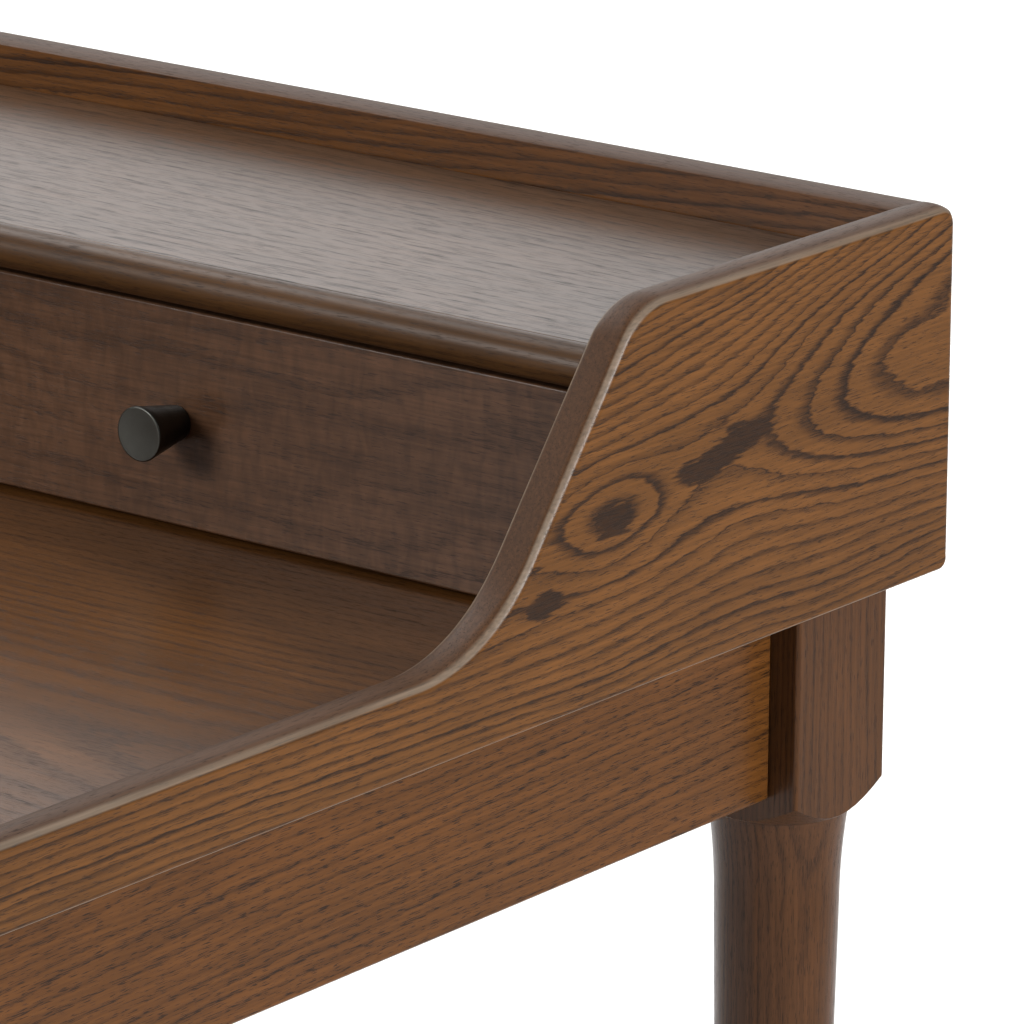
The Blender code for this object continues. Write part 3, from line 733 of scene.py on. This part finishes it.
def makeBackBoard():
    # its upper back edge is rounded like the corners of the side panels that it meets
    low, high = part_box("back_board")
    top = high.z - backBoard["sink"]
    first, second = (low.y, low.z), (high.y, low.z)
    third, fourth = (high.y, top), (low.y, top)
    outline = cornerArc(fourth, first, second, backBoard["lowArris"], 3)
    outline += cornerArc(first, second, third, backBoard["lowArris"], 3)
    outline += cornerArc(second, third, fourth, sidePanel["topCorner"] + backBoard["cornerMore"], 14)
    reach, depth = backBoard["crownReach"], backBoard["crownDepth"]
    outline += [(low.y + reach * (1 - sin(a)), top - depth * (1 - cos(a)))
                for a in (pi / 2 * k / 10 for k in range(11))]
    tongue = backBoard["tongue"]
    mesh = stripMesh("back_board", outline, low.x - tongue, high.x + tongue, radians(25))
    addPiece("back_board_shaped", mesh, oakMaterials["rail"], "desk", "stained_oak", "back_board")


boardArrises = {
    # node: arris radius, material key
    "shelf_board": (0.0009, "shelf"),
    "desk_top": (0.0006, "top"),
    "apron_front": (0.0015, "apronFront"),
    "apron_rear": (0.0015, "apronFront"),
    "apron_left": (0.0015, "apronSide"),
    "apron_right": (0.0015, "apronSide"),
    "divider_left": (0.0006, "top"),
    "divider_right": (0.0006, "top"),
    "drawer_left_front": (0.0012, "drawerFront"),
    "drawer_centre_front": (0.0012, "drawerFront"),
    "drawer_right_front": (0.0012, "drawerFront"),
}


def roundedBoard(node, arris, steps=3):
    # a planed board with rounded arrises, flat in the middle of every face
    low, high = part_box(node)
    bm = bmesh.new()
    bmesh.ops.create_cube(bm, size=1)
    for vertex in bm.verts:
        vertex.co = Vector([low[k] if vertex.co[k] < 0 else high[k] for k in range(3)])
    mesh = bpy.data.meshes.new(node)
    bm.to_mesh(mesh)
    bm.free()
    for face in mesh.polygons:
        face.use_smooth = True
    guide = bpy.data.objects.new(node, mesh)
    scene.collection.objects.link(guide)
    bevel = guide.modifiers.new("arris", "BEVEL")
    bevel.width = arris
    bevel.segments = steps
    bevel.harden_normals = True
    bevel.limit_method = "NONE"
    bpy.context.view_layer.update()
    graph = bpy.context.evaluated_depsgraph_get()
    finished = bpy.data.meshes.new_from_object(guide.evaluated_get(graph))
    bpy.data.objects.remove(guide, do_unlink=True)
    return finished


def makeBoards():
    for node, (arris, key) in boardArrises.items():
        body = node.removesuffix("_front") if node.startswith("drawer_") else "desk"
        addPiece(node + "_planed", roundedBoard(node, arris), oakMaterials[key], body, "stained_oak",
                 node)


leg = {
    "arris": 0.0018,
    "arrisSupport": 0.0006,     # extra points beside an arris, which keep the faces flat
    "endShare": 0.97,           # size of the block's end beside its full size
    "endDrop": 0.0008,          # height of the chamfer between them
    "shoulderDrop": 0.0915,     # top of the block to where its arrises are turned away
    "shoulderAngle": radians(39),
    "shoulderStep": 0.0005,
    "shoulderSupport": 0.004,
    "coveStep": 0.0015,
    "coveLength": 0.043,
    "coveSteps": 14,
    "shaftSteps": 12,
    "shaftTop": 0.0273,
    "footRadius": 0.0165,
    "footChamfer": 0.0015,
}


def blockRow(half, arris):
    # points round the square block: each face, and a fine arc at each arris
    row = []
    inner = half - arris
    support = leg["arrisSupport"]
    face = [-inner, -inner + support] + [inner * k / 5 for k in range(-4, 5)] + [inner - support]
    for quarter in range(4):
        turn = Matrix.Rotation(quarter * pi / 2, 2)
        row += [turn @ Vector((half, y)) for y in face]
        row += [turn @ Vector(p) for p in arcPoints((inner, inner), arris, 0, pi / 2, 5)[:-1]]
    return row


def makeLegMesh(name, centre, top, bottom, half):
    row = blockRow(half, leg["arris"])
    shoulder = half - leg["shoulderStep"]
    corner = half * sqrt(2)
    shoulderTop = top - leg["shoulderDrop"]
    slope = tan(leg["shoulderAngle"])
    shoulderFoot = shoulderTop - (corner - shoulder) * slope
    rings = []
    square = [Vector((p.x, p.y)) for p in row]
    end = leg["endShare"]
    rings.append([(p.x * end, p.y * end, top) for p in square])
    rings.append([(p.x, p.y, top - leg["endDrop"]) for p in square])
    rings.append([(p.x, p.y, shoulderTop + leg["shoulderSupport"]) for p in square])
    # the lathe's cone meets the block's faces in a curve
    meet = [shoulderFoot + max(0, p.length - shoulder) * slope for p in square]
    rings.append([(p.x, p.y, z) for p, z in zip(square, meet)])
    for share in (0.34, 0.67, 1.0):
        ring = []
        for p, z in zip(square, meet):
            radius = p.length + (shoulder - p.length) * share
            ring.append((p.x / p.length * radius, p.y / p.length * radius,
                         z + (shoulderFoot - z) * share))
        rings.append(ring)
    profile = []
    coveTop = shoulder - leg["coveStep"]
    steps = leg["coveSteps"]
    for i in range(steps + 1):
        t = i / steps
        radius = leg["shaftTop"] + (coveTop - leg["shaftTop"]) * (1 - t) ** 2
        profile.append((radius, shoulderFoot - leg["coveLength"] * t))
    coveFoot = profile[-1][1]
    steps = leg["shaftSteps"]
    for i in range(1, steps + 1):
        t = i / steps
        radius = leg["shaftTop"] + (leg["footRadius"] - leg["shaftTop"]) * t
        profile.append((radius, coveFoot + (bottom + leg["footChamfer"] - coveFoot) * t))
    profile.append((leg["footRadius"] - leg["footChamfer"], bottom))
    for radius, z in profile:
        rings.append([(p.x / p.length * radius, p.y / p.length * radius, z) for p in square])
    points = [(centre.x + x, centre.y + y, z) for ring in rings for x, y, z in ring]
    return finishMesh(name, points, ringFaces(len(rings), len(row)), radians(28))


def makeLegs():
    for corner in corners:
        low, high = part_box("leg_" + corner)
        centre = (low + high) / 2
        mesh = makeLegMesh("leg_" + corner, centre, high.z, low.z, (high.x - low.x) / 2)
        addPiece("leg_" + corner + "_turned", mesh, oakMaterials["leg"], "desk", "stained_oak",
                 "leg_" + corner)


knob = {
    "rim": 0.0007,              # rounding of the face's edge
    "dish": 0.0003,             # hollow of the face
    "dished": 0.93,             # share of the face that is hollow
    "neckRadius": 0.0075,
    "steps": 64,                # points round it
    "faceSteps": 5,             # rings in the face, and in its edge
    "sideSteps": 8,
}


def makeKnobs():
    for drawer in drawers:
        node = "drawer_" + drawer + "_knob"
        low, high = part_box(node)
        centre = (low + high) / 2
        face = (high.z - low.z) / 2
        rim = knob["rim"]
        count = knob["faceSteps"]
        profile = [(face * k / count * knob["dished"], knob["dish"] * (1 - (k / count) ** 2))
                   for k in range(1, count + 1)]
        profile += [(face - rim + rim * sin(a), rim - rim * cos(a))
                    for a in (pi / 2 * k / count for k in range(count + 1))]
        length = high.y - low.y
        count = knob["sideSteps"]
        for k in range(1, count + 1):
            t = k / count
            profile.append((face + (knob["neckRadius"] - face) * t, rim + (length - rim) * t))
        steps = knob["steps"]
        points = [(centre.x, low.y + knob["dish"], centre.z)]
        for radius, out in profile:
            for i in range(steps):
                a = 2 * pi * i / steps
                points.append((centre.x + radius * cos(a), low.y + out, centre.z + radius * sin(a)))
        points.append((centre.x, high.y, centre.z))
        faces = [(0, 1 + i, 1 + (i + 1) % steps) for i in range(steps)]
        for r in range(len(profile) - 1):
            for i in range(steps):
                j = (i + 1) % steps
                first, second = 1 + r * steps, 1 + (r + 1) * steps
                faces.append((first + i, first + j, second + j, second + i))
        last = 1 + (len(profile) - 1) * steps
        faces += [(last + i, last + (i + 1) % steps, len(points) - 1) for i in range(steps)]
        mesh = finishMesh(node, points, faces, radians(50))
        addPiece(node + "_turned", mesh, blackenedSteel, "drawer_" + drawer, "blackened_metal", node)


bolt = {
    "radius": 0.004,
    "pitch": 0.00125,
    "ridge": 0.0004,
    "threaded": 0.011,          # length of thread that shows past the nut
}


def makeThreadTree():
    # a screw thread: a three-sided ridge swept along a spiral
    tree = bpy.data.node_groups.new("screwThread", "GeometryNodeTree")
    sockets = {}
    for name in ("Radius", "Pitch", "Ridge", "Length"):
        sockets[name] = tree.interface.new_socket(name=name, in_out="INPUT", socket_type="NodeSocketFloat")
    sockets["Material"] = tree.interface.new_socket(name="Material", in_out="INPUT",
                                                    socket_type="NodeSocketMaterial")
    tree.interface.new_socket(name="Geometry", in_out="OUTPUT", socket_type="NodeSocketGeometry")
    given = addNode(tree, "NodeGroupInput")
    turns = addNode(tree, "ShaderNodeMath", {0: given.outputs["Length"], 1: given.outputs["Pitch"]},
                    operation="DIVIDE")
    spiral = addNode(tree, "GeometryNodeCurveSpiral", {
        "Resolution": 20, "Rotations": turns, "Start Radius": given.outputs["Radius"],
        "End Radius": given.outputs["Radius"], "Height": given.outputs["Length"]})
    ridge = addNode(tree, "GeometryNodeCurvePrimitiveCircle", {"Resolution": 3,
                                                               "Radius": given.outputs["Ridge"]})
    swept = addNode(tree, "GeometryNodeCurveToMesh", {"Curve": spiral, "Profile Curve": ridge,
                                                      "Fill Caps": True})
    real = addNode(tree, "GeometryNodeRealizeInstances", {0: swept})
    coated = addNode(tree, "GeometryNodeSetMaterial", {"Geometry": real,
                                                       "Material": given.outputs["Material"]})
    addNode(tree, "NodeGroupOutput", {"Geometry": coated})
    return tree, sockets


def makeThreads():
    tree, sockets = makeThreadTree()
    guide = bpy.data.objects.new("threadGuide", bpy.data.meshes.new("threadGuide"))
    scene.collection.objects.link(guide)
    modifier = guide.modifiers.new("thread", "NODES")
    modifier.node_group = tree
    values = {"Radius": bolt["radius"], "Pitch": bolt["pitch"], "Ridge": bolt["ridge"],
              "Length": bolt["threaded"], "Material": zincSteel}
    for name, value in values.items():
        modifier[sockets[name].identifier] = value
    bpy.context.view_layer.update()
    graph = bpy.context.evaluated_depsgraph_get()
    thread = bpy.data.meshes.new_from_object(guide.evaluated_get(graph))
    bpy.data.objects.remove(guide, do_unlink=True)
    bm = bmesh.new()
    inset = bolt["radius"] / sqrt(2)
    for corner in corners:
        low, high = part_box("hanger_bolt_" + corner)
        middle = (low + high) / 2
        outward = Vector((1 if middle.x > 0 else -1, 1 if middle.y > 0 else -1, 0))
        reach = Vector(((high.x - low.x) / 2 - inset, (high.y - low.y) / 2 - inset, 0))
        tail = middle - Vector((outward.x * reach.x, outward.y * reach.y, 0))
        copy = thread.copy()
        copy.transform(Matrix.Translation(tail) @ outward.to_track_quat("Z", "Y").to_matrix().to_4x4())
        bm.from_mesh(copy)
        bpy.data.meshes.remove(copy)
    bmesh.ops.recalc_face_normals(bm, faces=bm.faces)
    mesh = bpy.data.meshes.new("hanger_bolt_threads")
    bm.to_mesh(mesh)
    bm.free()
    addPiece("hanger_bolt_threads", mesh, zincSteel, "desk", "zinc_steel")


makeSidePanels()
makeEdgeStrips()
makeBackBoard()
makeBoards()
makeLegs()
makeKnobs()
makeThreads()
print("pieces ready")


def dressParts():
    # finishes for the parts that keep their own shape
    finishes = {}
    for name in nodes:
        if name.startswith("corner_block"):
            finishes[name] = blockWood
        elif name.startswith("hanger_") or name.endswith("_screw"):
            finishes[name] = zincSteel
        elif name.startswith("leg_glide"):
            finishes[name] = nylon
        elif "_side_" in name and name.startswith("drawer_"):
            finishes[name] = drawerSideWood
        elif name.startswith("drawer_") and name.endswith("_back"):
            finishes[name] = drawerBackWood
        elif name.startswith("drawer_") and name.endswith("_bottom"):
            finishes[name] = drawerBottomWood
        elif name.startswith("drawer_stop") or name == "centre_brace":
            finishes[name] = blockWood
    for name, material in finishes.items():
        mesh = nodes[name].data
        mesh.materials.clear()
        mesh.materials.append(material)
    print(len(finishes), "parts keep their own shape")


dressParts()
